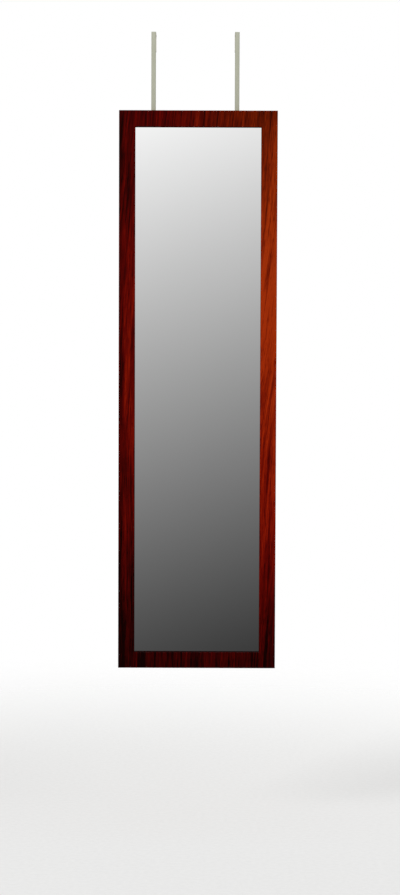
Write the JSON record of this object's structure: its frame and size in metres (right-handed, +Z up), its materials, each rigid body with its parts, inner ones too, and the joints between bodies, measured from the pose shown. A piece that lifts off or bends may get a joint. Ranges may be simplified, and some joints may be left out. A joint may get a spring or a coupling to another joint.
{
  "type": "over the door mirror",
  "caption": "Tall mirror in a flat wood-grain frame, hung over a door's top edge from two narrow height-adjustable strap hooks.",
  "frame": {"origin": "on the frame's centreline, where the door's top edge meets its front face", "axes": "+Z up, the mirror faces -Y, +X to the right as seen by someone looking into it"},
  "size_m": [0.381, 0.0717, 1.5362],
  "materials": {
    "foil_board": "satin",
    "fibreboard": "matte",
    "hardboard": "matte",
    "liner_card": "matte",
    "silvered_glass": "polished",
    "strap_paint": "satin",
    "zinc_steel": "satin",
    "brass": "satin",
    "felt": "matte",
    "bumper_rubber": "matte"
  },
  "bodies": {
    "mirror": {"face_frame": "foil_board", "mirror_glass": "silvered_glass", "card_liner": "liner_card", "back_panel": "hardboard", "batten_screws": "zinc_steel", "turn_button_screws": "zinc_steel", "top_batten": "fibreboard", "bumper_top_left": "bumper_rubber", "bumper_top_right": "bumper_rubber", "bottom_batten": "fibreboard", "bumper_bottom_left": "bumper_rubber", "bumper_bottom_right": "bumper_rubber", "left_batten": "fibreboard", "left_guide": "zinc_steel", "left_guide_screws": "zinc_steel", "left_insert": "brass", "right_batten": "fibreboard", "right_guide": "zinc_steel", "right_guide_screws": "zinc_steel", "right_insert": "brass"},
    "left_hanger": {"left_strap": "strap_paint", "left_seat_pad": "felt", "left_face_pad": "felt", "left_lip_pad": "felt"},
    "left_clamp": {"left_clamp_screw": "zinc_steel", "left_clamp_washer": "zinc_steel"},
    "right_hanger": {"right_strap": "strap_paint", "right_seat_pad": "felt", "right_face_pad": "felt", "right_lip_pad": "felt"},
    "right_clamp": {"right_clamp_screw": "zinc_steel", "right_clamp_washer": "zinc_steel"},
    "left_turn_button_top_body": {"left_turn_button_top": "zinc_steel"},
    "left_turn_button_middle_body": {"left_turn_button_middle": "zinc_steel"},
    "left_turn_button_bottom_body": {"left_turn_button_bottom": "zinc_steel"},
    "right_turn_button_top_body": {"right_turn_button_top": "zinc_steel"},
    "right_turn_button_middle_body": {"right_turn_button_middle": "zinc_steel"},
    "right_turn_button_bottom_body": {"right_turn_button_bottom": "zinc_steel"},
    "top_turn_button_body": {"top_turn_button": "zinc_steel"},
    "bottom_turn_button_body": {"bottom_turn_button": "zinc_steel"}
  },
  "joints": [
    {"name": "left_hanger_slide", "type": "slide", "parent": "mirror", "child": "left_hanger", "axis": [0, 0, 1], "range_m": [0, 0.08]},
    {"name": "left_clamp_turn", "type": "hinge", "parent": "mirror", "child": "left_clamp", "pos_m": [-0.1082, -0.006, -0.2045], "axis": [0, 1, 0], "range_deg": [0, 360]},
    {"name": "right_hanger_slide", "type": "slide", "parent": "mirror", "child": "right_hanger", "axis": [0, 0, 1], "range_m": [0, 0.08]},
    {"name": "right_clamp_turn", "type": "hinge", "parent": "mirror", "child": "right_clamp", "pos_m": [0.0928, -0.006, -0.2045], "axis": [0, 1, 0], "range_deg": [0, 360]},
    {"name": "left_turn_button_top_swing", "type": "hinge", "parent": "mirror", "child": "left_turn_button_top_body", "pos_m": [-0.1675, -0.0054, -0.369], "axis": [0, 1, 0], "continuous": true},
    {"name": "left_turn_button_middle_swing", "type": "hinge", "parent": "mirror", "child": "left_turn_button_middle_body", "pos_m": [-0.1675, -0.0054, -0.861], "axis": [0, 1, 0], "continuous": true},
    {"name": "left_turn_button_bottom_swing", "type": "hinge", "parent": "mirror", "child": "left_turn_button_bottom_body", "pos_m": [-0.1675, -0.0054, -1.353], "axis": [0, 1, 0], "continuous": true},
    {"name": "right_turn_button_top_swing", "type": "hinge", "parent": "mirror", "child": "right_turn_button_top_body", "pos_m": [0.1675, -0.0054, -0.369], "axis": [0, 1, 0], "continuous": true},
    {"name": "right_turn_button_middle_swing", "type": "hinge", "parent": "mirror", "child": "right_turn_button_middle_body", "pos_m": [0.1675, -0.0054, -0.861], "axis": [0, 1, 0], "continuous": true},
    {"name": "right_turn_button_bottom_swing", "type": "hinge", "parent": "mirror", "child": "right_turn_button_bottom_body", "pos_m": [0.1675, -0.0054, -1.353], "axis": [0, 1, 0], "continuous": true},
    {"name": "top_turn_button_swing", "type": "hinge", "parent": "mirror", "child": "top_turn_button_body", "pos_m": [0, -0.0054, -0.211], "axis": [0, 1, 0], "continuous": true},
    {"name": "bottom_turn_button_swing", "type": "hinge", "parent": "mirror", "child": "bottom_turn_button_body", "pos_m": [0, -0.0054, -1.511], "axis": [0, 1, 0], "continuous": true}
  ]
}
